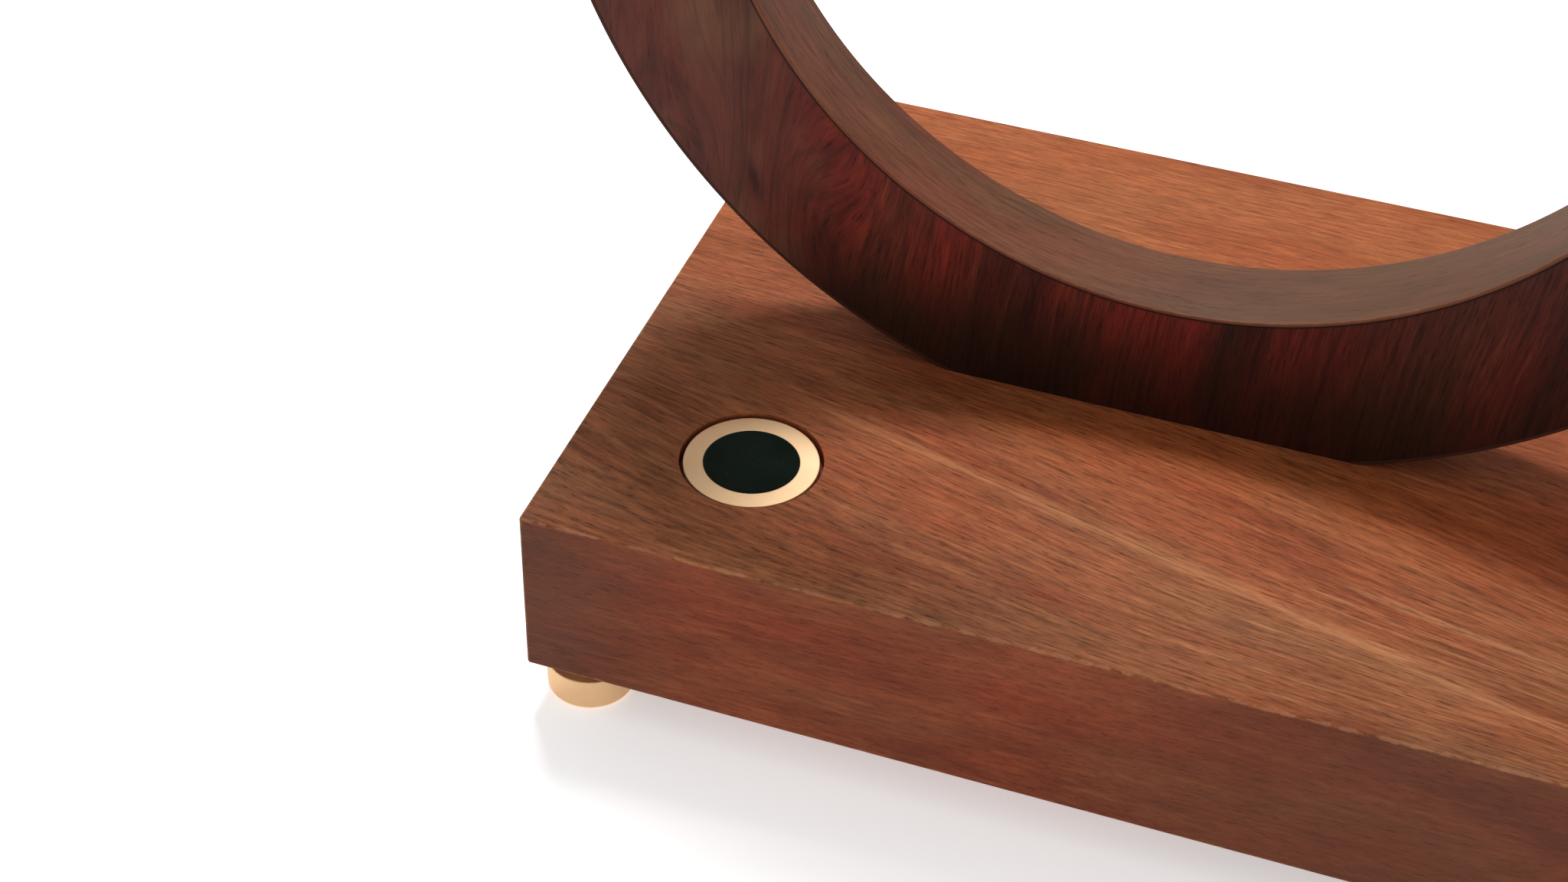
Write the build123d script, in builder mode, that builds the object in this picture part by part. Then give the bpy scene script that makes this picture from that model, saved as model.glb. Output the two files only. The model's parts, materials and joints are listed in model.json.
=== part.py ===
"""Headphone stand: a veneered wooden hoop stands upright on a solid plinth with turned feet.

All sizes are millimetres. +X runs across the hoop, +Y runs from front to rear and +Z is up.
The origin is on the floor, under the middle of the plinth.
"""

import os

from build123d import *

# Plinth, a solid block
plinth_width = 156.6
plinth_depth = 122.2
plinth_thickness = 28.6
plinth_corner_radius = 0.6
plinth_arris = 0.45

# Hoop, a ring with a flat sawn across its lowest part to seat it on the plinth
hoop_inner_radius = 70.85
hoop_wall = 25.25
hoop_depth = 14.0
hoop_middle_y = -0.35
hoop_flat_cut = 5.4
face_veneer = 0.6
edge_lipping = 0.6
hoop_arris = 0.2

# Badge, a brass disc with an enamelled field, let into the plinth's top
badge_radius = 10.0
badge_thickness = 1.5
badge_arris = 0.15
badge_clearance = 0.6
badge_sink = 0.35
badge_from_left = 26.55
badge_from_front = 23.7
enamel_radius = 7.05
enamel_depth = 0.6
adhesive_radius = 9.0
adhesive_thickness = 0.5

# Feet, turned brass with a narrower neck under the plinth
foot_radius = 6.6
foot_rim_height = 5.5
foot_margin = 0.6
foot_round = 0.6
foot_rim_arris = 0.25
neck_radius = 5.0
neck_height = 1.9

# Pads, pressed into the feet from below and standing a little proud
pad_radius = 4.6
pad_thickness = 1.8
pad_proud = 0.3
pad_clearance = 0.1

# Foot screws, pan-headed wood screws hidden by the pads
screw_radius = 1.5
screw_length = 16.0
screw_point = 2.5
screw_head_radius = 3.0
screw_head_height = 2.1
screw_head_clearance = 0.2
screw_head_gap = 0.1
screw_slot_width = 0.9
screw_slot_depth = 1.1
thread_clearance = 0.05

# Hoop fixings: cap screws from below, through washers, into inserts, beside two dowels
bolt_spacing = 26.0
bolt_radius = 2.0
bolt_head_radius = 3.5
bolt_head_height = 4.0
bolt_head_arris = 0.3
bolt_hole_clearance = 0.25
bolt_engagement = 8.9
hex_across_flats = 3.0
hex_depth = 2.0
counterbore_radius = 5.0
counterbore_depth = 8.0
washer_radius = 4.5
washer_thickness = 0.8
insert_radius = 3.5
insert_length = 10.0
insert_end_gap = 1.0
dowel_spacing = 46.0
dowel_radius = 3.0
dowel_length = 18.0
dowel_in_hoop = 8.5
dowel_end_gap = 0.8
dowel_arris = 0.4
fit_clearance = 0.05

# Heights
plinth_bottom = pad_proud + foot_rim_height + neck_height
plinth_top = plinth_bottom + plinth_thickness
hoop_outer_radius = hoop_inner_radius + hoop_wall
hoop_centre_z = plinth_top + hoop_outer_radius - hoop_flat_cut
badge_top = plinth_top - badge_sink
badge_bottom = badge_top - badge_thickness
recess_floor = badge_bottom - adhesive_thickness

# Places in plan
badge_place = (badge_from_left - plinth_width / 2, badge_from_front - plinth_depth / 2)
foot_x = plinth_width / 2 - foot_margin - foot_radius
foot_y = plinth_depth / 2 - foot_margin - foot_radius
foot_corners = {
    "front_left": (-foot_x, -foot_y),
    "front_right": (foot_x, -foot_y),
    "rear_left": (-foot_x, foot_y),
    "rear_right": (foot_x, foot_y),
}
foot_places = list(foot_corners.values())
bolt_places = [(-bolt_spacing / 2, hoop_middle_y), (bolt_spacing / 2, hoop_middle_y)]
dowel_places = [(-dowel_spacing / 2, hoop_middle_y), (dowel_spacing / 2, hoop_middle_y)]

# Foot screw: its head seats on the ceiling of the foot's inner counterbore
pad_recess_top = pad_thickness
screw_seat = pad_recess_top + screw_head_gap + screw_head_height
screw_tip = screw_seat + screw_length
pilot_depth = screw_tip - plinth_bottom + screw_head_gap

# Hoop fixings: the washer lies on the counterbore's ceiling, the head under the washer
bolt_seat = plinth_bottom + counterbore_depth
washer_bottom = bolt_seat - washer_thickness
bolt_length = plinth_top - washer_bottom + bolt_engagement
dowel_bottom = plinth_top + dowel_in_hoop - dowel_length

os.makedirs("parts", exist_ok=True)


def save(part, label):
    """Label a finished piece and write its STEP file."""
    part.label = label
    export_step(part, f"parts/{label}.step")


# Plinth: block, arrises, badge recess, foot pilots, stepped bolt holes and dowel sockets
with BuildPart() as plinth:
    with BuildSketch(Plane.XY.offset(plinth_bottom)):
        RectangleRounded(plinth_width, plinth_depth, plinth_corner_radius)
    extrude(amount=plinth_thickness)
    levels = plinth.edges().group_by(Axis.Z)
    fillet(levels[0] + levels[-1], plinth_arris)
    with BuildSketch(Plane.XY.offset(recess_floor)):
        with Locations(badge_place):
            Circle(badge_radius + badge_clearance)
    extrude(amount=plinth_top - recess_floor, mode=Mode.SUBTRACT)
    with BuildSketch(Plane.XY.offset(plinth_bottom)):
        with Locations(*foot_places):
            Circle(screw_radius + thread_clearance)
    extrude(amount=pilot_depth, mode=Mode.SUBTRACT)
    with BuildSketch(Plane.XY.offset(plinth_bottom)):
        with Locations(*bolt_places):
            Circle(counterbore_radius)
    extrude(amount=counterbore_depth, mode=Mode.SUBTRACT)
    with BuildSketch(Plane.XY.offset(bolt_seat)):
        with Locations(*bolt_places):
            Circle(bolt_radius + bolt_hole_clearance)
    extrude(amount=plinth_top - bolt_seat, mode=Mode.SUBTRACT)
    with BuildSketch(Plane.XY.offset(dowel_bottom - dowel_end_gap)):
        with Locations(*dowel_places):
            Circle(dowel_radius + fit_clearance)
    extrude(amount=plinth_top - dowel_bottom + dowel_end_gap, mode=Mode.SUBTRACT)
save(plinth.part, "plinth")

# Hoop core: the thick ring between the veneers, drilled from its flat for inserts and dowels
core_outer_radius = hoop_outer_radius - edge_lipping
core_inner_radius = hoop_inner_radius + edge_lipping
core_depth = hoop_depth - 2 * face_veneer
with BuildPart() as hoop_core:
    with BuildSketch(Plane.XZ.offset(core_depth / 2 - hoop_middle_y)):
        with Locations((0, hoop_centre_z)):
            Circle(core_outer_radius)
            Circle(core_inner_radius, mode=Mode.SUBTRACT)
        with Locations((0, plinth_top)):
            Rectangle(
                2 * hoop_outer_radius,
                hoop_outer_radius,
                align=(Align.CENTER, Align.MAX),
                mode=Mode.SUBTRACT,
            )
    extrude(amount=-core_depth)
    with BuildSketch(Plane.XY.offset(plinth_top)):
        with Locations(*bolt_places):
            Circle(insert_radius + fit_clearance)
    extrude(amount=insert_length + insert_end_gap, mode=Mode.SUBTRACT)
    with BuildSketch(Plane.XY.offset(plinth_top)):
        with Locations(*dowel_places):
            Circle(dowel_radius + fit_clearance)
    extrude(amount=dowel_in_hoop + dowel_end_gap, mode=Mode.SUBTRACT)
save(hoop_core.part, "hoop_core")

# Hoop skins: label -> outer radius, inner radius, front and rear faces, exposed edges' radius.
# The face veneers cover the core. The lippings cover the edges of both and show from the front.
front = hoop_depth / 2
hoop_skins = {
    "hoop_front_veneer": (core_outer_radius, core_inner_radius, front, front - face_veneer, None),
    "hoop_rear_veneer": (core_outer_radius, core_inner_radius, face_veneer - front, -front, None),
    "hoop_inner_lipping": (
        core_inner_radius,
        hoop_inner_radius,
        front,
        -front,
        hoop_inner_radius,
    ),
    "hoop_outer_lipping": (
        hoop_outer_radius,
        core_outer_radius,
        front,
        -front,
        hoop_outer_radius,
    ),
}
for label, (outer, inner, near, far, exposed) in hoop_skins.items():
    with BuildPart() as skin:
        with BuildSketch(Plane.XZ.offset(near - hoop_middle_y)):
            with Locations((0, hoop_centre_z)):
                Circle(outer)
                Circle(inner, mode=Mode.SUBTRACT)
            with Locations((0, plinth_top)):
                Rectangle(
                    2 * hoop_outer_radius,
                    hoop_outer_radius,
                    align=(Align.CENTER, Align.MAX),
                    mode=Mode.SUBTRACT,
                )
        extrude(amount=far - near)
        if exposed is not None:
            rounds = skin.edges().filter_by(GeomType.CIRCLE)
            fillet(rounds.filter_by(lambda edge: abs(edge.radius - exposed) < 0.01), hoop_arris)
    save(skin.part, label)

# Badge: brass disc with a shallow field, the enamel that fills it, and the adhesive below
with BuildPart() as badge_disc:
    with BuildSketch(Plane.XY.offset(badge_bottom)):
        with Locations(badge_place):
            Circle(badge_radius)
    extrude(amount=badge_thickness)
    chamfer(badge_disc.edges().group_by(Axis.Z)[-1], badge_arris)
    with BuildSketch(Plane.XY.offset(badge_top - enamel_depth)):
        with Locations(badge_place):
            Circle(enamel_radius)
    extrude(amount=enamel_depth, mode=Mode.SUBTRACT)
save(badge_disc.part, "badge_disc")

with BuildPart() as badge_enamel:
    with BuildSketch(Plane.XY.offset(badge_top - enamel_depth)):
        with Locations(badge_place):
            Circle(enamel_radius)
    extrude(amount=enamel_depth)
save(badge_enamel.part, "badge_enamel")

with BuildPart() as badge_adhesive:
    with BuildSketch(Plane.XY.offset(recess_floor)):
        with Locations(badge_place):
            Circle(adhesive_radius)
    extrude(amount=adhesive_thickness)
save(badge_adhesive.part, "badge_adhesive")

# Feet and their pads, one of each in every corner
for corner, place in foot_corners.items():
    with BuildPart() as foot:
        with BuildSketch(Plane.XY.offset(pad_proud)):
            with Locations(place):
                Circle(foot_radius)
        extrude(amount=foot_rim_height)
        fillet(foot.edges().group_by(Axis.Z)[0], foot_round)
        chamfer(foot.edges().group_by(Axis.Z)[-1], foot_rim_arris)
        with BuildSketch(Plane.XY.offset(pad_proud + foot_rim_height)):
            with Locations(place):
                Circle(neck_radius)
        extrude(amount=neck_height)
        with BuildSketch(Plane.XY.offset(pad_proud)):
            with Locations(place):
                Circle(pad_radius + pad_clearance)
        extrude(amount=pad_recess_top - pad_proud, mode=Mode.SUBTRACT)
        with BuildSketch(Plane.XY.offset(pad_recess_top)):
            with Locations(place):
                Circle(screw_head_radius + screw_head_clearance)
        extrude(amount=screw_seat - pad_recess_top, mode=Mode.SUBTRACT)
        with BuildSketch(Plane.XY.offset(screw_seat)):
            with Locations(place):
                Circle(screw_radius + bolt_hole_clearance)
        extrude(amount=plinth_bottom - screw_seat, mode=Mode.SUBTRACT)
    save(foot.part, f"foot_{corner}")

    with BuildPart() as pad:
        with BuildSketch(Plane.XY):
            with Locations(place):
                Circle(pad_radius)
        extrude(amount=pad_thickness)
        chamfer(pad.edges().group_by(Axis.Z)[0], pad_proud / 2)
    save(pad.part, f"pad_{corner}")

# Foot screws: pan head with a cross slot, plain shank for the thread, and a point
with BuildPart() as foot_screws:
    with BuildSketch(Plane.XY.offset(screw_seat - screw_head_height)):
        with Locations(*foot_places):
            Circle(screw_head_radius)
    extrude(amount=screw_head_height)
    with BuildSketch(Plane.XY.offset(screw_seat - screw_head_height)):
        with Locations(*foot_places):
            Rectangle(screw_head_radius, screw_slot_width)
            Rectangle(screw_slot_width, screw_head_radius)
    extrude(amount=screw_slot_depth, mode=Mode.SUBTRACT)
    with BuildSketch(Plane.XY.offset(screw_seat)):
        with Locations(*foot_places):
            Circle(screw_radius)
    extrude(amount=screw_length - screw_point)
    with Locations(*[(x, y, screw_tip - screw_point) for x, y in foot_places]):
        Cone(
            screw_radius,
            screw_radius / 5,
            screw_point,
            align=(Align.CENTER, Align.CENTER, Align.MIN),
        )
save(foot_screws.part, "foot_screws")

# Hoop bolts: socket-headed cap screws, with plain shanks for the thread
with BuildPart() as hoop_bolts:
    with BuildSketch(Plane.XY.offset(washer_bottom - bolt_head_height)):
        with Locations(*bolt_places):
            Circle(bolt_head_radius)
    extrude(amount=bolt_head_height)
    chamfer(hoop_bolts.edges().group_by(Axis.Z)[0], bolt_head_arris)
    with BuildSketch(Plane.XY.offset(washer_bottom - bolt_head_height)):
        with Locations(*bolt_places):
            RegularPolygon(hex_across_flats / 2, 6, major_radius=False)
    extrude(amount=hex_depth, mode=Mode.SUBTRACT)
    with BuildSketch(Plane.XY.offset(washer_bottom)):
        with Locations(*bolt_places):
            Circle(bolt_radius)
    extrude(amount=bolt_length)
    chamfer(hoop_bolts.edges().group_by(Axis.Z)[-1], bolt_head_arris)
save(hoop_bolts.part, "hoop_bolts")

with BuildPart() as hoop_washers:
    with BuildSketch(Plane.XY.offset(washer_bottom)):
        with Locations(*bolt_places):
            Circle(washer_radius)
            Circle(bolt_radius + bolt_hole_clearance, mode=Mode.SUBTRACT)
    extrude(amount=washer_thickness)
save(hoop_washers.part, "hoop_washers")

with BuildPart() as hoop_inserts:
    with BuildSketch(Plane.XY.offset(plinth_top)):
        with Locations(*bolt_places):
            Circle(insert_radius)
            Circle(bolt_radius + thread_clearance, mode=Mode.SUBTRACT)
    extrude(amount=insert_length)
save(hoop_inserts.part, "hoop_inserts")

with BuildPart() as hoop_dowels:
    with BuildSketch(Plane.XY.offset(dowel_bottom)):
        with Locations(*dowel_places):
            Circle(dowel_radius)
    extrude(amount=dowel_length)
    ends = hoop_dowels.edges().group_by(Axis.Z)
    chamfer(ends[0] + ends[-1], dowel_arris)
save(hoop_dowels.part, "hoop_dowels")
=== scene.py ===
import json
import math

import bmesh
import bpy
import numpy as np
from mathutils import Matrix, Vector


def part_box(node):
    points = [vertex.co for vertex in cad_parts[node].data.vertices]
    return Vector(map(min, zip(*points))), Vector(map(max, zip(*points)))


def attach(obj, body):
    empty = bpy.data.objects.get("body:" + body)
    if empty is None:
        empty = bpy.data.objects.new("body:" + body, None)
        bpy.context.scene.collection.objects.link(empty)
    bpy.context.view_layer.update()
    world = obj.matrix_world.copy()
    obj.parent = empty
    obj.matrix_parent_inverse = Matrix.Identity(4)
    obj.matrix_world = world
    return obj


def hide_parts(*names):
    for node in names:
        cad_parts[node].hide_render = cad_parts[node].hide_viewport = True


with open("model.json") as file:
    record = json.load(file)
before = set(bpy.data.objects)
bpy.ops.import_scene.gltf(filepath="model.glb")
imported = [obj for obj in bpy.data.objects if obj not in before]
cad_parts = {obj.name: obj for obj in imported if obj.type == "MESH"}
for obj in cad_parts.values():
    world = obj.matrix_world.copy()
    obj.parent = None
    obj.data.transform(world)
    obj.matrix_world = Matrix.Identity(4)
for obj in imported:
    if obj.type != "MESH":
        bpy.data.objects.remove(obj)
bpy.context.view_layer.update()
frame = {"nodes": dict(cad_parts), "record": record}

MM = 0.001
TURN = 2 * math.pi

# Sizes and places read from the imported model, in metres
plinth_low, plinth_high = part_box("plinth")
plinth_mid = (plinth_low + plinth_high) / 2
plinth_half = (plinth_high - plinth_low) / 2
outer_low, outer_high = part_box("hoop_outer_lipping")
inner_low, inner_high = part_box("hoop_inner_lipping")
veneer_low, veneer_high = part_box("hoop_front_veneer")
badge_low, badge_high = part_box("badge_disc")
enamel_low, enamel_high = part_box("badge_enamel")
bolts_low, bolts_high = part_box("hoop_bolts")
washers_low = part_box("hoop_washers")[0]

# The hoop: a ring about a level axis along Y, seated on a flat that lies on the plinth
hoop_centre = (inner_low + inner_high) / 2
hoop_outer_radius = (outer_high.x - outer_low.x) / 2
core_outer_radius = (veneer_high.x - veneer_low.x) / 2
core_inner_radius = (inner_high.x - inner_low.x) / 2
lipping_thickness = hoop_outer_radius - core_outer_radius
hoop_inner_radius = core_inner_radius - lipping_thickness
hoop_front = veneer_low.y
hoop_rear = inner_high.y
veneer_thickness = veneer_high.y - veneer_low.y
flat_drop = hoop_centre.z - plinth_high.z
hoop_arris = 0.2 * MM
seam_width = 0.09 * MM
FACE_STEPS = 560
FLAT_STEPS = 48
LIPPING_STEPS = 600

# The badge
badge_centre = (badge_low + badge_high) / 2
badge_radius = (badge_high.x - badge_low.x) / 2
enamel_radius = (enamel_high.x - enamel_low.x) / 2
badge_edge_round = 0.15 * MM
badge_crown = 0.03 * MM
enamel_sunk = 0.10 * MM
enamel_climb = 0.05 * MM

# The feet and pads
CORNERS = ("front_left", "front_right", "rear_left", "rear_right")
foot_low, foot_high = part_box("foot_front_left")
pad_low, pad_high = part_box("pad_front_left")
foot_radius = (foot_high.x - foot_low.x) / 2
pad_radius = (pad_high.x - pad_low.x) / 2
rim_top = foot_low.z + 5.5 * MM
neck_radius = 5.0 * MM
foot_round = 0.6 * MM
foot_cove = 0.25 * MM
bore_lip = 0.15 * MM
pad_clearance = 0.1 * MM
pad_edge_round = 0.25 * MM
pad_grooves = 3
pad_groove_depth = 0.12 * MM
screw_seat = pad_high.z + 2.2 * MM
screw_head_bore = 3.2 * MM
screw_bore = 1.75 * MM

# The hoop's bolts: heads below, shanks upwards
bolt_head_radius = (bolts_high.y - bolts_low.y) / 2
bolt_radius = 2.0 * MM
bolt_spacing = bolts_high.x - bolts_low.x - 2 * bolt_head_radius
bolt_middle_y = (bolts_low.y + bolts_high.y) / 2
bolt_edge = 0.3 * MM
knurl_depth = 0.07 * MM
knurl_ribs = 40
socket_apothem = 1.5 * MM
socket_depth = 2.0 * MM
BOLT_STEPS = 240


# ---------------------------------------------------------------- surfaces


def finish_mesh(name, points, faces, sharp=35.0):
    """A mesh object from points and faces: doubles merged, faces outwards, smooth but for edges."""
    mesh = bpy.data.meshes.new(name)
    mesh.from_pydata(points.reshape(-1, 3).tolist(), [], faces)
    work = bmesh.new()
    work.from_mesh(mesh)
    bmesh.ops.remove_doubles(work, verts=work.verts, dist=0.0005 * MM)
    bmesh.ops.recalc_face_normals(work, faces=work.faces)
    work.to_mesh(mesh)
    work.free()
    mesh.shade_smooth()
    mesh.set_sharp_from_angle(angle=math.radians(sharp))
    piece = bpy.data.objects.new(name, mesh)
    bpy.context.scene.collection.objects.link(piece)
    return piece


def grid_faces(rows, columns, round_rows=True, round_columns=True, first=0):
    """Four-sided faces over a grid of points numbered row by row, closed round one way or both."""
    number = first + np.arange(rows * columns).reshape(rows, columns)
    if round_rows:
        number = np.concatenate([number, number[:1]], axis=0)
    if round_columns:
        number = np.concatenate([number, number[:, :1]], axis=1)
    quads = np.stack([number[:-1, :-1], number[1:, :-1], number[1:, 1:], number[:-1, 1:]], axis=-1)
    return quads.reshape(-1, 4).tolist()


def rounded_section(low, high, rounds, steps=7):
    """A closed rectangle from low to high whose corners are quarter circles.

    The corners come in turn from the high-high one, against the clock. A point on a corner is the
    quarter circle's centre, which lies the radius inside both sides, plus the radius times the
    cosine and sine of an angle that gains a quarter turn from corner to corner.
    """
    side_x = np.array([1, -1, -1, 1])[:, None]
    side_y = np.array([1, 1, -1, -1])[:, None]
    corner_x = np.where(side_x > 0, high[0], low[0])
    corner_y = np.where(side_y > 0, high[1], low[1])
    radius = np.array(rounds)[:, None]
    angle = np.arange(4)[:, None] * TURN / 4 + np.linspace(0, TURN / 4, steps)
    x = corner_x + radius * (np.cos(angle) - side_x)
    y = corner_y + radius * (np.sin(angle) - side_y)
    return np.stack([x.ravel(), y.ravel()], axis=1)


def arc(centre, radius, start, end, steps=9):
    """Points on a circle about centre from the start angle to the end angle, in degrees."""
    angle = np.radians(np.linspace(start, end, steps))
    x = centre[0] + radius * np.cos(angle)
    y = centre[1] + radius * np.sin(angle)
    return np.stack([x, y], axis=1)


def turned(name, profile, centre, steps=160, closed=True):
    """A turned piece: each profile point (radius, height) is carried round a full circle.

    x is the centre's plus the radius times the cosine, y the same with the sine, z is the height.
    """
    profile = np.asarray(profile)
    angle = np.linspace(0, TURN, steps, endpoint=False)[:, None]
    radius = profile[:, 0]
    x = centre[0] + radius * np.cos(angle)
    y = centre[1] + radius * np.sin(angle)
    z = np.broadcast_to(profile[:, 1], x.shape)
    points = np.stack([x, y, z], axis=-1)
    return finish_mesh(name, points, grid_faces(steps, len(profile), True, closed))


def on_hoop(radius, angle, depth):
    """Points at a distance and an angle about the hoop's axis, and at a place along it."""
    x = hoop_centre.x + radius * np.cos(angle)
    z = hoop_centre.z + radius * np.sin(angle)
    return np.stack([x, np.broadcast_to(depth, x.shape), z], axis=-1)


def flat_corner(radius):
    """How far round from straight down a circle of that radius meets the hoop's flat."""
    return np.arccos(np.minimum(flat_drop / radius, 1.0))


def hoop_face(name, near, far, rounds):
    """A face veneer: a flat ring whose outer edge is the circle or the flat, whichever is nearer.

    The section is swept round the hoop. At each angle its width is scaled to end at the lesser of
    the outer radius and the flat's distance, which is the drop from the axis to the flat over the
    cosine of the angle from straight down.
    """
    inner, outer = core_inner_radius, core_outer_radius
    section = rounded_section((inner, near), (outer, far), rounds)
    corner = flat_corner(outer)
    round_part = np.linspace(corner, TURN - corner, FACE_STEPS, endpoint=False)
    flat_part = np.linspace(-corner, corner, FLAT_STEPS, endpoint=False)
    down = np.concatenate([round_part, flat_part])
    cosine = np.cos(down)
    to_flat = np.where(cosine > 0, flat_drop / np.maximum(cosine, 1e-6), outer)
    edge = np.minimum(outer, to_flat)
    stretch = (section[:, 0] - inner) / (outer - inner)
    radius = inner + stretch * (edge[:, None] - inner)
    points = on_hoop(radius, down[:, None] - TURN / 4, section[:, 1])
    return finish_mesh(name, points, grid_faces(len(down), len(section)))


def hoop_edge(name, inner, outer, rounds):
    """A lipping: its small section swept round the hoop.

    Where the section reaches the flat, each of its points starts and ends at the angle at which
    that point's own radius meets the flat, and the two ends are closed.
    """
    section = rounded_section((inner, hoop_front), (outer, hoop_rear), rounds)
    whole = outer <= flat_drop
    share = np.linspace(0, 1, LIPPING_STEPS, endpoint=not whole)[:, None]
    corner = flat_corner(section[:, 0])
    angle = corner + share * (TURN - 2 * corner) - TURN / 4
    points = on_hoop(np.broadcast_to(section[:, 0], angle.shape), angle, section[:, 1])
    faces = grid_faces(LIPPING_STEPS, len(section), whole, True)
    if not whole:
        last = (LIPPING_STEPS - 1) * len(section)
        faces.append(list(range(len(section))))
        faces.append(list(range(last, last + len(section))))
    return finish_mesh(name, points, faces)


def badge_ring():
    """The brass disc: a low turned dish with a gently crowned rim."""
    top, bottom, edge = badge_high.z, badge_low.z, badge_edge_round
    across = np.linspace(badge_radius - edge, enamel_radius + edge, 12)
    middle = (badge_radius + enamel_radius) / 2
    crown = badge_crown * ((across - middle) / (badge_radius - middle)) ** 2
    profile = np.concatenate(
        [
            [(0, bottom)],
            arc((badge_radius - edge, bottom + edge), edge, -90, 0, 5),
            arc((badge_radius - edge, top - crown[0] - edge), edge, 0, 80, 6),
            np.stack([across, top - crown], axis=1),
            arc((enamel_radius + edge, top - crown[-1] - edge), edge, 100, 180, 6),
            [(enamel_radius, enamel_low.z), (0, enamel_low.z)],
        ]
    )
    return turned("badge_ring", profile, badge_centre, closed=False)


def badge_field():
    """The enamel: level, with a rim that climbs to the brass as the eighth power of the radius."""
    share = np.linspace(0, 1, 24)
    top = enamel_high.z - enamel_sunk + enamel_climb * share**8
    profile = np.concatenate(
        [
            np.stack([enamel_radius * share, top], axis=1),
            [(enamel_radius, enamel_low.z), (0, enamel_low.z)],
        ]
    )
    return turned("badge_field", profile, badge_centre, closed=False)


def foot(corner):
    """A turned foot: rounded rim, small cove up to the neck, stepped bore for pad and screw."""
    low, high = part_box(f"foot_{corner}")
    centre = (low + high) / 2
    rounding, cove, lip = foot_round, foot_cove, bore_lip
    pad_bore = pad_radius + pad_clearance
    profile = np.concatenate(
        [
            [(screw_bore, high.z), (screw_bore, screw_seat), (screw_head_bore, screw_seat)],
            [(screw_head_bore, pad_high.z), (pad_bore, pad_high.z)],
            arc((pad_bore + lip, low.z + lip), lip, 180, 270, 5),
            arc((foot_radius - rounding, low.z + rounding), rounding, -90, 0),
            arc((foot_radius - cove, rim_top - cove), cove, 0, 90, 6),
            arc((neck_radius + cove, rim_top + cove), cove, -90, -180, 6),
            [(neck_radius, high.z)],
        ]
    )
    return turned(f"turned_foot_{corner}", profile, centre)


def pad(corner):
    """A rubber pad with three shallow rings pressed into its underside.

    Going out from the middle, the underside rises by the groove's depth times minus the cosine of
    three waves across the radius, wherever that cosine is below zero.
    """
    low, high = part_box(f"pad_{corner}")
    centre = (low + high) / 2
    edge = pad_edge_round
    share = np.linspace(0, 1, 72)
    flat_radius = pad_radius - edge
    groove = pad_groove_depth * np.maximum(-np.cos(pad_grooves * TURN * share), 0)
    profile = np.concatenate(
        [
            np.stack([flat_radius * share, low.z + groove], axis=1),
            arc((flat_radius, low.z + edge), edge, -90, 0, 6),
            [(pad_radius, high.z), (0, high.z)],
        ]
    )
    return turned(f"rubber_pad_{corner}", profile, centre, steps=96, closed=False)


def hoop_bolts():
    """Two socket-headed bolts as one piece.

    Each is a profile carried round a circle. In the socket the radius is a hexagon's: its apothem
    over the cosine of the angle from the nearest flat. On the head's side the knurl's depth times
    a cosine, with one wave for each rib round the circle, is added to the radius.
    """
    bottom, top, under = bolts_low.z, bolts_high.z, washers_low.z
    edge, knurl = bolt_edge, knurl_depth
    rows = [
        # radius, height, share of hexagon, share of knurl
        (0, bottom + socket_depth, 0, 0),
        (socket_apothem, bottom + socket_depth, 1, 0),
        (socket_apothem, bottom, 1, 0),
        (socket_apothem + edge, bottom, 0, 0),
        (bolt_head_radius - edge, bottom, 0, 0),
        (bolt_head_radius - knurl, bottom + edge, 0, 1),
        (bolt_head_radius - knurl, under - edge / 2, 0, 1),
        (bolt_head_radius - edge / 2, under, 0, 0),
        (bolt_radius, under, 0, 0),
        (bolt_radius, top - edge, 0, 0),
        (bolt_radius - edge, top, 0, 0),
        (0, top, 0, 0),
    ]
    radius, height, hexagon, ribs = np.array(rows).T
    angle = np.linspace(0, TURN, BOLT_STEPS, endpoint=False)[:, None]
    flats = 1 / np.cos(np.mod(angle, TURN / 6) - TURN / 12)
    wide = radius * (1 + hexagon * (flats - 1)) + ribs * knurl * np.cos(knurl_ribs * angle)
    x = wide * np.cos(angle)
    y = bolt_middle_y + wide * np.sin(angle)
    z = np.broadcast_to(height, x.shape)
    middle = (bolts_low.x + bolts_high.x) / 2
    one = [np.stack([middle + side * bolt_spacing / 2 + x, y, z], axis=-1) for side in (-1, 1)]
    faces = grid_faces(BOLT_STEPS, len(rows), True, False)
    faces += grid_faces(BOLT_STEPS, len(rows), True, False, first=BOLT_STEPS * len(rows))
    return finish_mesh("socket_bolts", np.stack(one), faces)


# ---------------------------------------------------------------- node helpers


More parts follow.
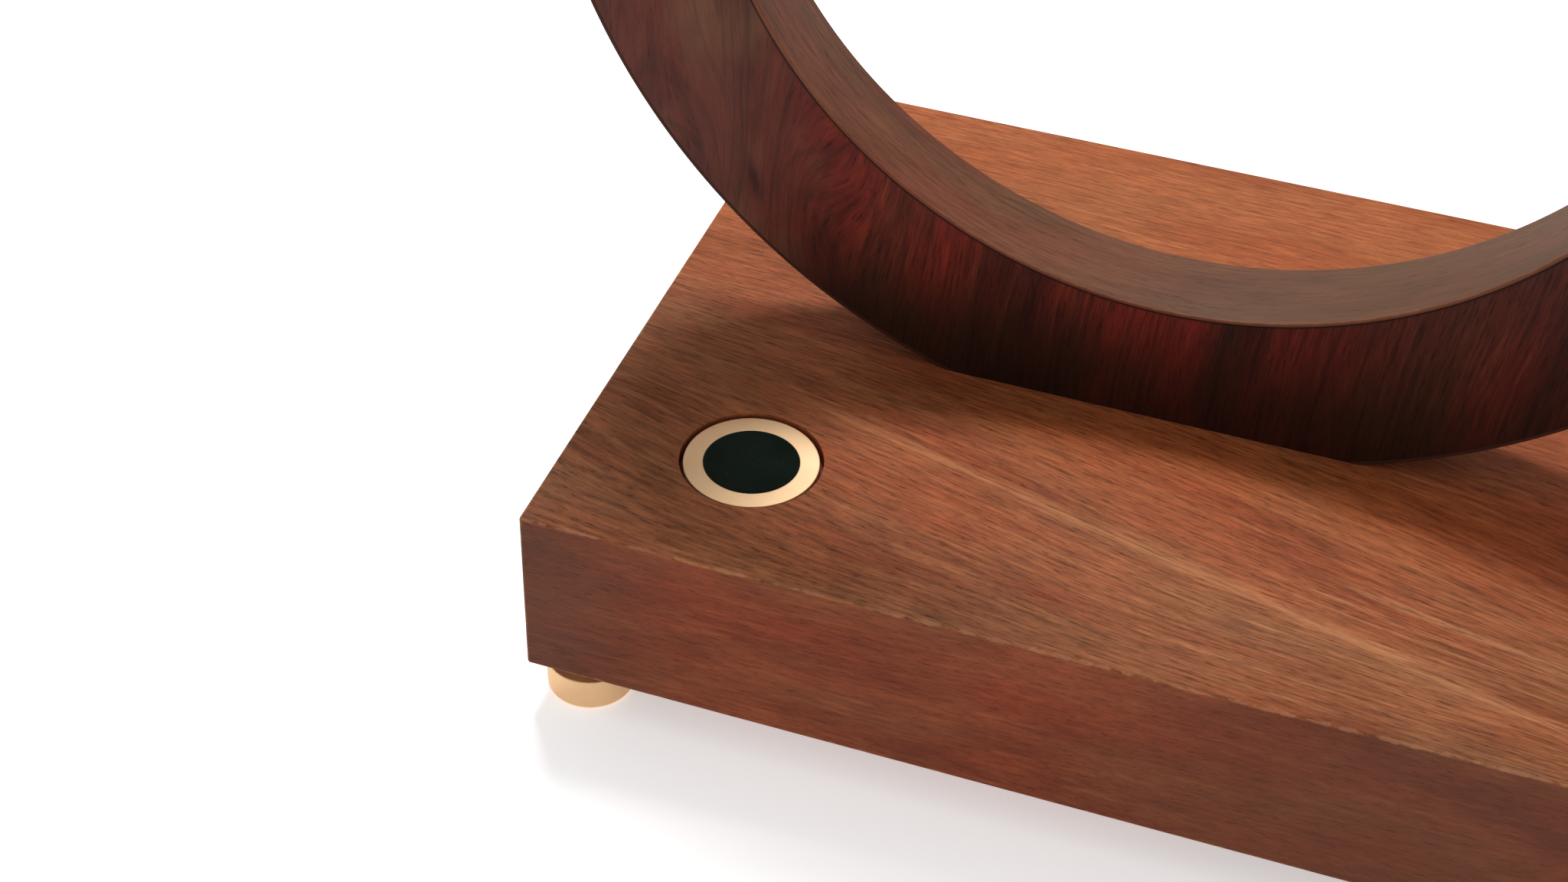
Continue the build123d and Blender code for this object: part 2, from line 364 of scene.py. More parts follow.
class Tree:
    """A short way to add nodes to one node tree and join them."""

    def __init__(self, tree):
        self.tree = tree

    def add(self, kind, settings=None, **sockets):
        """A node of that kind, with its settings and with its input sockets set or joined."""
        node = self.tree.nodes.new(kind)
        for name, value in (settings or {}).items():
            setattr(node, name, value)
        for name, value in sockets.items():
            self.put(node.inputs[name.replace("_", " ")], value)
        return node

    def put(self, socket, value):
        if isinstance(value, bpy.types.NodeSocket):
            self.tree.links.new(value, socket)
        else:
            socket.default_value = value

    def math(self, operation, *values, clamp=False):
        node = self.tree.nodes.new("ShaderNodeMath")
        node.operation = operation
        node.use_clamp = clamp
        for socket, value in zip(node.inputs, values):
            self.put(socket, value)
        return node.outputs[0]

    def plus(self, *values):
        total = values[0]
        for value in values[1:]:
            total = self.math("ADD", total, value)
        return total

    def times(self, *values):
        product = values[0]
        for value in values[1:]:
            product = self.math("MULTIPLY", product, value)
        return product

    def minus(self, a, b):
        return self.math("SUBTRACT", a, b)

    def vector(self, operation, *values):
        node = self.tree.nodes.new("ShaderNodeVectorMath")
        node.operation = operation
        for socket, value in zip(node.inputs, values):
            self.put(socket, value)
        return node.outputs[0]

    def scaled(self, vector, x, y, z):
        return self.vector("MULTIPLY", vector, (x, y, z))

    def split(self, vector):
        return self.add("ShaderNodeSeparateXYZ", Vector=vector).outputs

    def join(self, x, y, z):
        return self.add("ShaderNodeCombineXYZ", X=x, Y=y, Z=z).outputs[0]

    def noise(self, vector, detail=2.0, roughness=0.5):
        node = self.add(
            "ShaderNodeTexNoise", Vector=vector, Detail=detail, Roughness=roughness, Scale=1.0
        )
        return node.outputs["Fac"]

    def ramp(self, value, low, high, out_low=0.0, out_high=1.0):
        """A smooth step of value from low to high."""
        node = self.add("ShaderNodeMapRange", {"interpolation_type": "SMOOTHSTEP"}, Value=value)
        self.put(node.inputs["From Min"], low)
        self.put(node.inputs["From Max"], high)
        self.put(node.inputs["To Min"], out_low)
        self.put(node.inputs["To Max"], out_high)
        return node.outputs["Result"]

    def bell(self, value, width):
        """One at zero, falling off to nothing as the square of value over width grows."""
        share = self.math("DIVIDE", value, width)
        return self.math("EXPONENT", self.times(share, share, -1.0))

    def blend(self, factor, a, b, how="MIX"):
        """Colours a and b mixed by factor."""
        node = self.tree.nodes.new("ShaderNodeMix")
        node.data_type = "RGBA"
        node.blend_type = how
        self.put(node.inputs[0], factor)
        self.put(node.inputs[6], a)
        self.put(node.inputs[7], b)
        return node.outputs[2]

    def grey(self, value):
        return self.add("ShaderNodeCombineColor", Red=value, Green=value, Blue=value).outputs[0]


def rgb(red, green, blue):
    """A linear colour from the 0 to 255 values that a colour picker shows."""
    shown = [v / 255 for v in (red, green, blue)]
    return (*[((v + 0.055) / 1.055) ** 2.4 if v > 0.04 else v / 12.92 for v in shown], 1.0)


def node_group(name, inputs, outputs):
    """A shader node group with named sockets: name -> (socket type, default)."""
    tree = bpy.data.node_groups.new(name, "ShaderNodeTree")
    for label, (kind, default) in inputs.items():
        socket = tree.interface.new_socket(name=label, in_out="INPUT", socket_type=kind)
        if default is not None:
            socket.default_value = default
    for label, kind in outputs.items():
        tree.interface.new_socket(name=label, in_out="OUTPUT", socket_type=kind)
    t = Tree(tree)
    entry = tree.nodes.new("NodeGroupInput")
    leave = tree.nodes.new("NodeGroupOutput")
    return t, entry.outputs, leave.inputs


FLOAT, COLOUR, VECTOR = "NodeSocketFloat", "NodeSocketColor", "NodeSocketVector"


# ---------------------------------------------------------------- shared effects


def make_wood_figure():
    """Wood as a solid: clouds, streaks, short dashes and pores, all stretched along the grain.

    Position is in millimetres with x along the grain.
    """
    t, given, out = node_group(
        "wood_figure",
        {
            "Position": (VECTOR, None),
            "Dark": (COLOUR, None),
            "Middle": (COLOUR, None),
            "Light": (COLOUR, None),
            "Red": (COLOUR, None),
            "Olive": (COLOUR, None),
            "Cloud Width": (FLOAT, 12.0),
            "Clouds": (FLOAT, 0.5),
            "Streak Width": (FLOAT, 2.2),
            "Streaks": (FLOAT, 0.5),
            "Dashes": (FLOAT, 0.25),
            "Pores": (FLOAT, 0.3),
            "Waviness": (FLOAT, 3.0),
        },
        {"Color": COLOUR, "Height": FLOAT, "Pore": FLOAT},
    )
    place = given["Position"]
    wander = t.noise(t.scaled(place, 0.012, 0.022, 0.022), 2.0)
    drift = t.times(t.minus(wander, 0.5), given["Waviness"])
    x, y, z = t.split(place)
    grain = t.join(x, t.plus(y, drift), z)

    per_cloud = t.math("DIVIDE", 1.0, given["Cloud Width"])
    spread = t.join(t.times(per_cloud, 0.30), per_cloud, per_cloud)
    cloud = t.noise(t.vector("MULTIPLY", grain, spread), 3.0, 0.55)
    hue = t.noise(t.vector("ADD", t.vector("MULTIPLY", grain, spread), (31.0, 7.0, 13.0)), 2.0, 0.5)
    per_streak = t.math("DIVIDE", 1.0, given["Streak Width"])
    long_spread = t.join(t.times(per_streak, 0.040), per_streak, per_streak)
    streak = t.noise(t.vector("MULTIPLY", grain, long_spread), 3.0, 0.6)
    dash = t.noise(t.scaled(grain, 0.15, 1.9, 1.9), 3.0, 0.65)
    speck = t.noise(t.scaled(grain, 0.42, 4.6, 4.6), 1.0, 0.5)
    grit = t.noise(t.scaled(grain, 2.6, 5.2, 5.2), 1.0, 0.5)
    pore = t.ramp(speck, 0.58, 0.72)

    body = t.blend(t.ramp(cloud, 0.32, 0.60), given["Dark"], given["Middle"])
    body = t.blend(t.times(t.ramp(hue, 0.48, 0.68), given["Clouds"]), body, given["Red"])
    body = t.blend(t.times(t.ramp(hue, 0.50, 0.32), given["Clouds"]), body, given["Olive"])
    body = t.blend(t.times(t.ramp(streak, 0.50, 0.74), given["Streaks"]), body, given["Light"])
    body = t.blend(t.times(t.ramp(streak, 0.46, 0.28), given["Streaks"]), body, given["Dark"])
    bright = t.minus(t.ramp(dash, 0.48, 0.66), t.ramp(dash, 0.50, 0.34))
    fine = t.times(t.minus(grit, 0.5), 0.9, given["Dashes"])
    value = t.plus(1.0, t.times(bright, given["Dashes"]), fine)
    value = t.minus(value, t.times(pore, given["Pores"]))
    t.put(out["Color"], t.blend(1.0, body, t.grey(value), "MULTIPLY"))
    t.put(out["Pore"], pore)
    raised = t.plus(t.times(dash, 0.6), t.times(grit, 0.25))
    t.put(out["Height"], t.minus(raised, t.times(pore, 0.8)))
    return t.tree


# Its mask paints edges lighter: partly wear, partly a painted highlight on the arrises
def make_edge_wear_and_highlight():
    """A mask along an edge, broken up by noise.

    Distance is how far a point is from the edge, in millimetres, and Position is in millimetres.
    """
    t, given, out = node_group(
        "edge_wear_and_highlight",
        {"Position": (VECTOR, None), "Distance": (FLOAT, 5.0), "Width": (FLOAT, 0.8)},
        {"Mask": FLOAT},
    )
    ragged = t.noise(t.scaled(given["Position"], 0.35, 0.35, 0.35), 5.0, 0.7)
    reach = t.plus(0.05, t.times(given["Width"], t.ramp(ragged, 0.35, 0.70)))
    t.put(out["Mask"], t.ramp(t.math("DIVIDE", given["Distance"], reach), 1.0, 0.25))
    return t.tree


def make_handling():
    """What handling leaves: broad smudges, fine dust and a close even grit."""
    t, given, out = node_group(
        "handling",
        {"Position": (VECTOR, None), "Grit Size": (FLOAT, 0.2)},
        {"Smudge": FLOAT, "Dust": FLOAT, "Grit": FLOAT},
    )
    place = given["Position"]
    broad = t.noise(t.scaled(place, 0.06, 0.06, 0.06), 4.0, 0.6)
    fine = t.noise(t.scaled(place, 1.3, 1.3, 1.3), 2.0, 0.6)
    per_grit = t.math("DIVIDE", 1.0, given["Grit Size"])
    grit = t.noise(t.vector("MULTIPLY", place, t.join(per_grit, per_grit, per_grit)), 1.0, 0.5)
    t.put(out["Smudge"], t.ramp(broad, 0.35, 0.65))
    t.put(out["Dust"], t.ramp(fine, 0.70, 0.80))
    t.put(out["Grit"], grit)
    return t.tree


wood_figure = make_wood_figure()
edge_wear_and_highlight = make_edge_wear_and_highlight()
handling = make_handling()


def new_material(name):
    """An empty material with its Principled shader joined to the output."""
    material = bpy.data.materials.new(name)
    material.use_nodes = True
    material.node_tree.nodes.clear()
    t = Tree(material.node_tree)
    shader = t.add("ShaderNodeBsdfPrincipled")
    output = t.add("ShaderNodeOutputMaterial")
    t.put(output.inputs["Surface"], shader.outputs[0])
    return material, t, shader


def millimetres(t):
    """Object coordinates in millimetres."""
    place = t.add("ShaderNodeTexCoord").outputs["Object"]
    return t.scaled(place, 1000, 1000, 1000)


def use_group(t, group, **values):
    """A group node with its inputs set by name."""
    node = t.tree.nodes.new("ShaderNodeGroup")
    node.node_tree = group
    for name, value in values.items():
        t.put(node.inputs[name.replace("_", " ")], value)
    return node.outputs


def raise_bumps(t, shader, height, distance, strength=1.0):
    """Joins a height to the shader's normal."""
    bump = t.add("ShaderNodeBump", Strength=strength, Distance=distance, Height=height)
    t.put(shader.inputs["Normal"], bump.outputs[0])


def edge_distance(t, place, middle, half):
    """How far a point on a block's surface is from the block's nearest edge, in millimetres.

    Of its three distances to the pairs of faces, the least is its own face's and the middle one
    is the distance to the nearest edge.
    """
    away = t.vector("ABSOLUTE", t.vector("SUBTRACT", place, tuple(v / MM for v in middle)))
    a, b, c = t.split(t.vector("SUBTRACT", tuple(v / MM for v in half), away))
    lesser, greater = t.math("MINIMUM", a, b), t.math("MAXIMUM", a, b)
    return t.math("MAXIMUM", lesser, t.math("MINIMUM", greater, c))


def hoop_polar(t, place):
    """A point's distance from the hoop's axis, its angle from straight down, and its x, y and z."""
    x, y, z = t.split(place)
    down = t.minus(hoop_centre.z / MM, z)
    radius = t.math("SQRT", t.plus(t.times(x, x), t.times(down, down)))
    return radius, t.math("ARCTAN2", x, down), (x, y, z)


def hoop_edge_distance(t, radius, y):
    """How far a point on the hoop's surface is from its nearest long edge, in millimetres."""
    to_ring = t.math(
        "MINIMUM",
        t.minus(radius, hoop_inner_radius / MM),
        t.minus(hoop_outer_radius / MM, radius),
    )
    to_face = t.math("MINIMUM", t.minus(y, hoop_front / MM), t.minus(hoop_rear / MM, y))
    return t.plus(t.math("MAXIMUM", to_ring, 0.0), t.math("MAXIMUM", to_face, 0.0))


# ---------------------------------------------------------------- materials

# Places in the wood, in millimetres
STREAK_START = (-40.5, -24.0)
STREAK_SLOPE = 0.259
STREAK_WIDTH = 1.15
# The band in the hoop's shadow is partly the wood's tone, partly painted warm bounce light
RED_SHADE_BAND_Y = -14.0
RED_SHADE_BAND_WIDTH = 9.0
KNOT = (-62.5, 63.5)
# Brass below this height is painted darker: painted shade for the feet under the plinth
SHADED_BRASS_TOP = 20.0


def plinth_wood():
    """Satin red-brown hardwood, its grain along X, leaning forwards across the front half."""
    material, t, shader = new_material("plinth_wood")
    place = millimetres(t)
    x, y, z = t.split(place)
    lean = t.plus(0.04, t.times(t.bell(t.plus(y, 28.0), 28.0), 0.21))
    across = t.plus(y, t.times(x, lean))
    upright = t.ramp(t.minus(plinth_high.z / MM, z), 0.25, 0.6)
    behind = t.ramp(y, 0.0, 15.0)
    front_right = t.times(t.ramp(x, -15.0, 40.0), t.ramp(y, -12.0, -40.0), t.minus(1.0, upright))
    wood = use_group(
        t,
        wood_figure,
        Position=t.join(x, across, z),
        Dark=rgb(126, 66, 38),
        Middle=rgb(150, 86, 52),
        Light=rgb(182, 120, 78),
        Red=rgb(152, 74, 42),
        Olive=rgb(136, 86, 54),
        Cloud_Width=11.0,
        Clouds=0.55,
        Streak_Width=1.3,
        Streaks=t.plus(0.30, t.times(front_right, 0.25)),
        Dashes=t.plus(0.36, t.times(behind, 0.20), t.times(upright, -0.17)),
        Pores=t.plus(0.38, t.times(upright, -0.16)),
        Waviness=5.0,
    )
    use = use_group(t, handling, Position=place)
    # One long pale streak crosses the front half, from beside the badge towards the right
    past_start = t.minus(x, STREAK_START[0])
    from_streak = t.plus(t.minus(y, STREAK_START[1]), t.times(past_start, STREAK_SLOPE))
    in_streak = t.noise(t.scaled(t.join(x, from_streak, z), 0.07, 1.7, 0.5), 3.0, 0.65)
    pale = t.times(t.bell(from_streak, STREAK_WIDTH), t.ramp(in_streak, 0.36, 0.60), 0.52)
    pale = t.times(pale, t.ramp(x, -62.0, -40.0), t.minus(1.0, upright))
    colour = t.blend(pale, wood["Color"], rgb(196, 132, 86))
    # The front left corner is darker, what lies behind the hoop is more orange, the right is a
    # little redder and the front right corner is lighter
    dim = t.times(t.ramp(x, -38.0, -84.0), t.ramp(y, 20.0, -30.0))
    colour = t.blend(dim, colour, (0.76, 0.81, 0.85, 1.0), "MULTIPLY")
    colour = t.blend(t.times(t.ramp(y, -5.0, 25.0), 0.34), colour, rgb(192, 106, 60))
    redder = t.times(t.ramp(x, 15.0, 70.0), t.ramp(y, -36.0, -16.0), 0.20)
    colour = t.blend(redder, colour, rgb(172, 84, 46))
    colour = t.blend(front_right, colour, (1.06, 1.14, 1.20, 1.0), "MULTIPLY")
    # A redder band lies in front of the hoop's foot, in the hoop's shadow: partly the wood's own
    # redder tone, partly painted warm bounce light from the hoop
    red_shade_band = t.bell(t.minus(y, RED_SHADE_BAND_Y), RED_SHADE_BAND_WIDTH)
    red_shade_band = t.times(red_shade_band, t.ramp(x, -45.0, -15.0), t.minus(1.0, upright))
    colour = t.blend(red_shade_band, colour, (1.10, 0.92, 0.74, 1.0), "MULTIPLY")
    # The upright faces are redder and darker than the top, and duller away from the middle
    colour = t.blend(upright, colour, (0.77, 0.58, 0.56, 1.0), "MULTIPLY")
    off_middle = t.plus(t.ramp(x, -45.0, -80.0), t.ramp(x, -5.0, 40.0))
    colour = t.blend(t.times(upright, off_middle, 0.48), colour, rgb(80, 50, 36))
    wear_and_highlight = use_group(
        t,
        edge_wear_and_highlight,
        Position=place,
        Distance=edge_distance(t, place, plinth_mid, plinth_half),
        Width=0.75,
    )
    # Lighter along the edges: partly wear, partly a painted highlight on the arrises
    colour = t.blend(t.times(wear_and_highlight["Mask"], 0.38), colour, rgb(192, 142, 106))
    t.put(shader.inputs["Base Color"], colour)
    rough = t.plus(0.48, t.times(use["Smudge"], 0.07), t.times(wood["Pore"], 0.15))
    t.put(shader.inputs["Roughness"], rough)
    shader.inputs["Specular IOR Level"].default_value = 0.12
    raise_bumps(t, shader, wood["Height"], 0.06 * MM, 0.7)
    return material


def hoop_veneer():
    """Dark red-brown face veneer, its grain upright, greyer at the left with a small knot."""
    material, t, shader = new_material("hoop_veneer")
    place = millimetres(t)
    radius, _, (x, y, z) = hoop_polar(t, place)
    # The grain parts round a slender knot low on the left
    knot_x, knot_z = t.minus(x, KNOT[0]), t.minus(z, KNOT[1])
    from_knot = t.math("SQRT", t.plus(t.times(knot_x, knot_x), t.times(knot_z, knot_z, 0.25)))
    parting = t.times(knot_x, t.bell(from_knot, 10.0), 1.9)
    across = t.plus(x, parting, t.times(t.math("SINE", t.times(z, 0.05)), 2.5))
    wood = use_group(
        t,
        wood_figure,
        Position=t.join(z, across, y),
        Dark=rgb(46, 18, 12),
        Middle=rgb(76, 28, 19),
        Light=rgb(100, 46, 31),
        Red=rgb(94, 27, 21),
        Olive=rgb(60, 34, 21),
        Cloud_Width=15.0,
        Clouds=0.6,
        Streak_Width=1.5,
        Streaks=0.32,
        Dashes=0.34,
        Pores=0.40,
        Waviness=t.ramp(x, -35.0, 0.0, 14.0, 4.0),
    )
    # The left is paler and greyer, with a ragged boundary and mottled within
    ragged = t.noise(t.scaled(place, 0.06, 0.06, 0.03), 3.0, 0.6)
    sap = t.ramp(t.plus(x, t.times(t.minus(ragged, 0.5), 26.0)), -46.0, -62.0)
    mottle = t.noise(t.scaled(place, 0.09, 0.09, 0.035), 3.0, 0.6)
    patchy = t.plus(0.24, t.times(t.ramp(mottle, 0.35, 0.65), 0.40))
    sap_colour = t.blend(t.ramp(ragged, 0.40, 0.60), rgb(124, 82, 58), rgb(106, 56, 42))
    colour = t.blend(t.times(sap, patchy), wood["Color"], sap_colour)
    # Growth lines, the level lines of a broad slow noise, flow down the left of the ring
    slow = t.noise(t.scaled(t.join(across, y, z), 0.045, 0.045, 0.012), 2.0, 0.45)
    lines = t.ramp(t.math("SINE", t.times(slow, 95.0)), 0.45, 1.0)
    colour = t.blend(t.times(lines, t.ramp(x, -30.0, -50.0), 0.22), colour, rgb(34, 18, 13))
    # Low on the ring its inner half is redder in patches, and towards the foot it is painted near
    # black: painted shade where the plinth keeps light off the ring's lowest part
    redder = t.times(t.ramp(radius, 94.0, 76.0), t.ramp(x, -60.0, -42.0), t.ramp(x, 30.0, -5.0))
    redder = t.times(redder, t.ramp(mottle, 0.36, 0.60, 0.35, 1.0))
    redder = t.times(redder, t.ramp(z, 150.0, 110.0))
    colour = t.blend(redder, colour, (2.15, 1.40, 1.35, 1.0), "MULTIPLY")
    # Painted shade: the ring darkens to near black below 60 mm
    colour = t.blend(t.times(t.ramp(z, 60.0, 42.0), 0.66), colour, rgb(34, 22, 15))
    # Thin dark veins run upright over all of it
    veins = t.noise(t.scaled(t.join(across, y, z), 0.95, 0.5, 0.028), 3.0, 0.6)
    vein = t.times(t.ramp(veins, 0.53, 0.66), t.plus(0.26, t.times(t.ramp(x, 0.0, 20.0), 0.16)))
    colour = t.blend(vein, colour, rgb(18, 10, 8))
    # The knot's heart, a slender tilted spot, and the dark glue line beside the lipping
    tilted = t.plus(t.times(knot_x, 1.5), t.times(knot_z, 0.35))
    heart = t.math("SQRT", t.plus(t.times(tilted, tilted), t.times(knot_z, knot_z, 0.16)))
    colour = t.blend(t.times(t.bell(heart, 1.3), 0.75), colour, rgb(24, 13, 10))
    joint = t.bell(t.minus(radius, core_inner_radius / MM), 0.24)
    colour = t.blend(t.times(joint, 0.85), colour, rgb(20, 9, 6))
    wear_and_highlight = use_group(
        t, edge_wear_and_highlight, Position=place, Distance=hoop_edge_distance(t, radius, y), Width=0.4
    )
    # Lighter along the edges: partly wear, partly a painted highlight on the arrises
    colour = t.blend(t.times(wear_and_highlight["Mask"], 0.2), colour, rgb(140, 84, 58))
    t.put(shader.inputs["Base Color"], colour)
    t.put(shader.inputs["Roughness"], t.plus(0.46, t.times(wood["Pore"], 0.15)))
    shader.inputs["Specular IOR Level"].default_value = 0.14
    raise_bumps(t, shader, wood["Height"], 0.05 * MM, 0.7)
    return material


def hoop_lipping():
    """Edge veneer, its grain round the ring, redder at the left and greyer at the right."""
    material, t, shader = new_material("hoop_lipping")
    place = millimetres(t)
    radius, angle, (x, y, _) = hoop_polar(t, place)
    along = t.times(angle, hoop_inner_radius / MM)
    wood = use_group(
        t,
        wood_figure,
        Position=t.join(along, y, radius),
        Dark=rgb(98, 58, 42),
        Middle=rgb(116, 70, 51),
        Light=rgb(136, 92, 68),
        Red=rgb(118, 62, 47),
        Olive=rgb(104, 72, 50),
        Cloud_Width=9.0,
        Clouds=0.5,
        Streak_Width=1.6,
        Streaks=0.09,
        Dashes=0.22,
        Pores=0.26,
        Waviness=3.0,
    )
    greyer = t.times(t.ramp(x, -30.0, 25.0), 0.55)
    colour = t.blend(greyer, wood["Color"], rgb(96, 76, 58))
    # Seen from in front the inner strip is warmer and the outer one as dark as the face veneer,
    # with a dark glue line beside the inner one
    strip = t.math("MINIMUM", t.minus(y, hoop_front / MM), t.minus(hoop_rear / MM, y))
    outer = t.ramp(radius, 80.0, 90.0)
    strip_colour = t.blend(outer, rgb(122, 66, 42), rgb(58, 28, 20))
    strip_share = t.times(t.ramp(strip, 0.35, 0.1), t.plus(0.6, t.times(outer, 0.3)))
    colour = t.blend(strip_share, colour, strip_colour)
    joint = t.bell(t.minus(radius, core_inner_radius / MM), 0.16)
    colour = t.blend(t.times(joint, 0.85), colour, rgb(20, 9, 6))
    wear_and_highlight = use_group(
        t, edge_wear_and_highlight, Position=place, Distance=hoop_edge_distance(t, radius, y), Width=0.4
    )
    # Lighter along the edges: partly wear, partly a painted highlight on the arrises
    wear_and_highlight_share = t.times(wear_and_highlight["Mask"], t.plus(0.3, t.times(outer, -0.2)))
    colour = t.blend(wear_and_highlight_share, colour, rgb(150, 98, 70))
    t.put(shader.inputs["Base Color"], colour)
    t.put(shader.inputs["Roughness"], t.plus(0.5, t.times(wood["Pore"], 0.15)))
    shader.inputs["Specular IOR Level"].default_value = 0.12
    raise_bumps(t, shader, wood["Height"], 0.05 * MM, 0.7)
    return material


def satin_metal(name, colour, tarnish_and_shade, roughness, shade_below=0.0):
    """Metal with a fine blasted grit and faint, slightly tarnished smudges.

    Below a height given in millimetres the metal is painted darker, towards its second colour:
    painted shade for the brass feet in the dim space under the plinth.
    """
    material, t, shader = new_material(name)
    place = millimetres(t)
    use = use_group(t, handling, Position=place, Grit_Size=0.22)
    shade = t.plus(0.94, t.times(use["Grit"], 0.12))
    # Painted shade: the metal darkens below the given height
    low_shade = t.ramp(t.split(place)[2], shade_below, shade_below - 2.0)
    share = t.plus(t.times(use["Smudge"], 0.25), t.times(low_shade, 0.6))
    body = t.blend(share, colour, tarnish_and_shade)
    t.put(shader.inputs["Base Color"], t.blend(1.0, body, t.grey(shade), "MULTIPLY"))
    shader.inputs["Metallic"].default_value = 1.0
    rough = t.plus(roughness, t.times(use["Smudge"], 0.05), t.times(use["Grit"], 0.06))
    t.put(shader.inputs["Roughness"], rough)
    raise_bumps(t, shader, use["Grit"], 0.012 * MM, 0.6)
    return material


def enamel():
    """Near-black green enamel, glossy, with faint specks of dust."""
    material, t, shader = new_material("enamel")
    use = use_group(t, handling, Position=millimetres(t), Grit_Size=0.5)
    deep, pale = (0.0040, 0.0110, 0.0085, 1.0), (0.0070, 0.0165, 0.0125, 1.0)
    colour = t.blend(use["Smudge"], deep, pale)
    colour = t.blend(t.times(use["Dust"], 0.12), colour, rgb(150, 140, 120))
    t.put(shader.inputs["Base Color"], colour)
    t.put(shader.inputs["Roughness"], t.plus(0.12, t.times(use["Smudge"], 0.06)))
    shader.inputs["Specular IOR Level"].default_value = 0.28
    raise_bumps(t, shader, use["Grit"], 0.004 * MM, 0.4)
    return material


def matt(name, colour, other, roughness, grit_size, stretch=(1, 1, 1)):
    """A matt stuff of two close colours, with a grit that may be stretched into fibres."""
    material, t, shader = new_material(name)
    place = t.scaled(millimetres(t), *stretch)
    use = use_group(t, handling, Position=place, Grit_Size=grit_size)
    share = t.plus(t.times(use["Grit"], 0.8), t.times(use["Smudge"], 0.2))
    t.put(shader.inputs["Base Color"], t.blend(t.ramp(share, 0.3, 0.7), colour, other))
    t.put(shader.inputs["Roughness"], t.plus(roughness, t.times(use["Smudge"], 0.06)))
    raise_bumps(t, shader, use["Grit"], 0.03 * MM, 0.6)
    return material


finishes = {
    "plinth_wood": plinth_wood(),
    "hoop_veneer": hoop_veneer(),
    "hoop_lipping": hoop_lipping(),
    "core_board": matt("core_board", rgb(142, 104, 70), rgb(166, 126, 88), 0.8, 0.5),
    "brass": satin_metal(
        "brass", (1.0, 0.72, 0.44, 1), (0.74, 0.47, 0.25, 1), 0.54, SHADED_BRASS_TOP
    ),
    "enamel": enamel(),
    "adhesive_foam": matt(
        "adhesive_foam", (0.015, 0.015, 0.015, 1), (0.03, 0.03, 0.03, 1), 0.9, 0.3
    ),
    "pad_rubber": matt("pad_rubber", (0.018, 0.018, 0.018, 1), (0.035, 0.034, 0.033, 1), 0.7, 0.25),
    "zinc_steel": satin_metal("zinc_steel", (0.62, 0.62, 0.60, 1), (0.48, 0.48, 0.47, 1), 0.28),
    "insert_brass": satin_metal("insert_brass", (0.85, 0.62, 0.33, 1), (0.7, 0.45, 0.2, 1), 0.3),
    "dowel_beech": matt(
        "dowel_beech", rgb(186, 144, 100), rgb(202, 164, 120), 0.7, 0.4, (1, 1, 0.1)
    ),
}
slots = {row["node"]: row["material_slot"] for row in frame["record"]["subparts"]}
for name, node in frame["nodes"].items():
    node.data.materials.clear()
    node.data.materials.append(finishes[slots[name]])


# ---------------------------------------------------------------- pieces


def stand_for(piece, node):
    """Finishes a piece like the CAD node it stands for, and lets it ride on the one body."""
    piece.data.materials.append(finishes[slots[node]])
    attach(piece, "root")
    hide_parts(node)


# The corners that show as a seam are rounded a little, and the hoop's own edges a little more
seam, arris = seam_width, hoop_arris
front = (hoop_front, hoop_front + veneer_thickness)
stand_for(hoop_face("face_veneer_front", *front, (0, 0, seam, seam)), "hoop_front_veneer")
rear = (hoop_rear - veneer_thickness, hoop_rear)
stand_for(hoop_face("face_veneer_rear", *rear, (seam, seam, 0, 0)), "hoop_rear_veneer")
inner = (hoop_inner_radius, core_inner_radius)
inner_rounds = (seam, arris, arris, seam)
stand_for(hoop_edge("edge_lipping_inner", *inner, inner_rounds), "hoop_inner_lipping")
outer = (core_outer_radius, hoop_outer_radius)
outer_rounds = (arris, seam, seam, arris)
stand_for(hoop_edge("edge_lipping_outer", *outer, outer_rounds), "hoop_outer_lipping")
stand_for(badge_ring(), "badge_disc")
stand_for(badge_field(), "badge_enamel")
for corner in CORNERS:
    stand_for(foot(corner), f"foot_{corner}")
    stand_for(pad(corner), f"pad_{corner}")
stand_for(hoop_bolts(), "hoop_bolts")


# ---------------------------------------------------------------- floor, light and camera

FLOOR_HALF = 4.0
FLOOR_GLOW = 0.46
KEY_PLACE, KEY_AIM = (-0.286, 0.45, 1.15), (0, 0, 0.05)
KEY_SIZE, KEY_WATTS = 0.28, 10.2
CAMERA_FROM_HOOP = Vector((0.050205, -0.32317, 0.167627))
CAMERA_TURN, CAMERA_DIP, CAMERA_ROLL = 18.733, 39.981, 1.242
CAMERA_LENS = 62.954


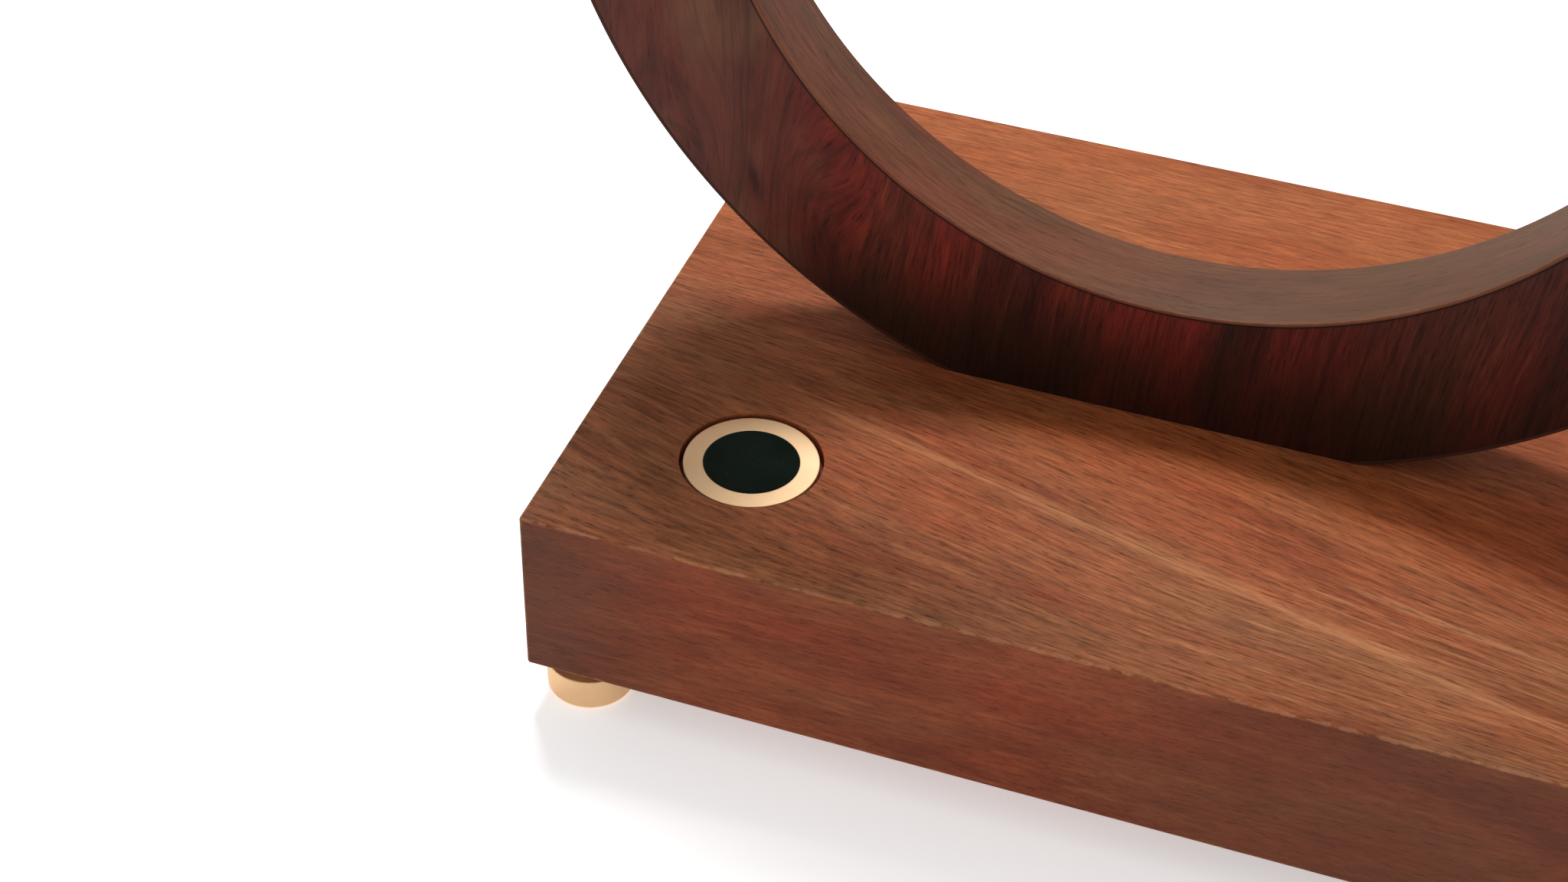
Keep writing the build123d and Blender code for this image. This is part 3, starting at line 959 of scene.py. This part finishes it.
def pale_floor():
    """A plain pale floor with a faint glow of its own, which isn't part of the object."""
    half = FLOOR_HALF
    corners = [(-half, -half, 0), (half, -half, 0), (half, half, 0), (-half, half, 0)]
    mesh = bpy.data.meshes.new("floor")
    mesh.from_pydata(corners, [], [(0, 1, 2, 3)])
    floor = bpy.data.objects.new("floor", mesh)
    bpy.context.scene.collection.objects.link(floor)
    material, _, shader = new_material("floor_paper")
    shader.inputs["Base Color"].default_value = (0.88, 0.88, 0.88, 1.0)
    shader.inputs["Roughness"].default_value = 0.9
    shader.inputs["Emission Color"].default_value = (1.0, 1.0, 1.0, 1.0)
    shader.inputs["Emission Strength"].default_value = FLOOR_GLOW
    mesh.materials.append(material)


def soft_light(name, place, aim, size, watts):
    """A square area light at place, facing aim."""
    light = bpy.data.lights.new(name, "AREA")
    light.shape = "SQUARE"
    light.size = size
    light.energy = watts
    lamp = bpy.data.objects.new(name, light)
    lamp.location = place
    lamp.rotation_mode = "QUATERNION"
    lamp.rotation_quaternion = (Vector(aim) - Vector(place)).to_track_quat("-Z", "Y")
    bpy.context.scene.collection.objects.link(lamp)


def studio_world():
    """A white surround, bright along the horizon, dim just above it and brighter overhead."""
    world = bpy.data.worlds.new("studio")
    world.use_nodes = True
    world.node_tree.nodes.clear()
    t = Tree(world.node_tree)
    up = t.split(t.add("ShaderNodeTexCoord").outputs["Generated"])[2]
    strength = t.plus(t.ramp(up, -0.1, 0.9, 0.30, 0.60), t.times(t.bell(up, 0.14), 0.45))
    glow = t.add("ShaderNodeBackground", Color=(1.0, 1.0, 1.0, 1.0), Strength=strength)
    output = t.add("ShaderNodeOutputWorld")
    t.put(output.inputs["Surface"], glow.outputs[0])
    bpy.context.scene.world = world


def studio_camera():
    """The camera, high in front and to the right, looking down on the hoop's lower left."""
    camera = bpy.data.objects.new("camera", bpy.data.cameras.new("camera"))
    camera.data.sensor_width = 36.0
    camera.data.lens = CAMERA_LENS
    camera.data.clip_start = 0.01
    place = Matrix.Translation(hoop_centre + CAMERA_FROM_HOOP)
    turn = Matrix.Rotation(math.radians(CAMERA_TURN), 4, "Z")
    tilt = Matrix.Rotation(math.radians(90 - CAMERA_DIP), 4, "X")
    roll = Matrix.Rotation(math.radians(CAMERA_ROLL), 4, "Z")
    camera.matrix_world = place @ turn @ tilt @ roll
    bpy.context.scene.collection.objects.link(camera)
    bpy.context.scene.camera = camera


pale_floor()
studio_world()
soft_light("key", KEY_PLACE, KEY_AIM, KEY_SIZE, KEY_WATTS)
studio_camera()
bpy.context.scene.view_settings.view_transform = "Standard"
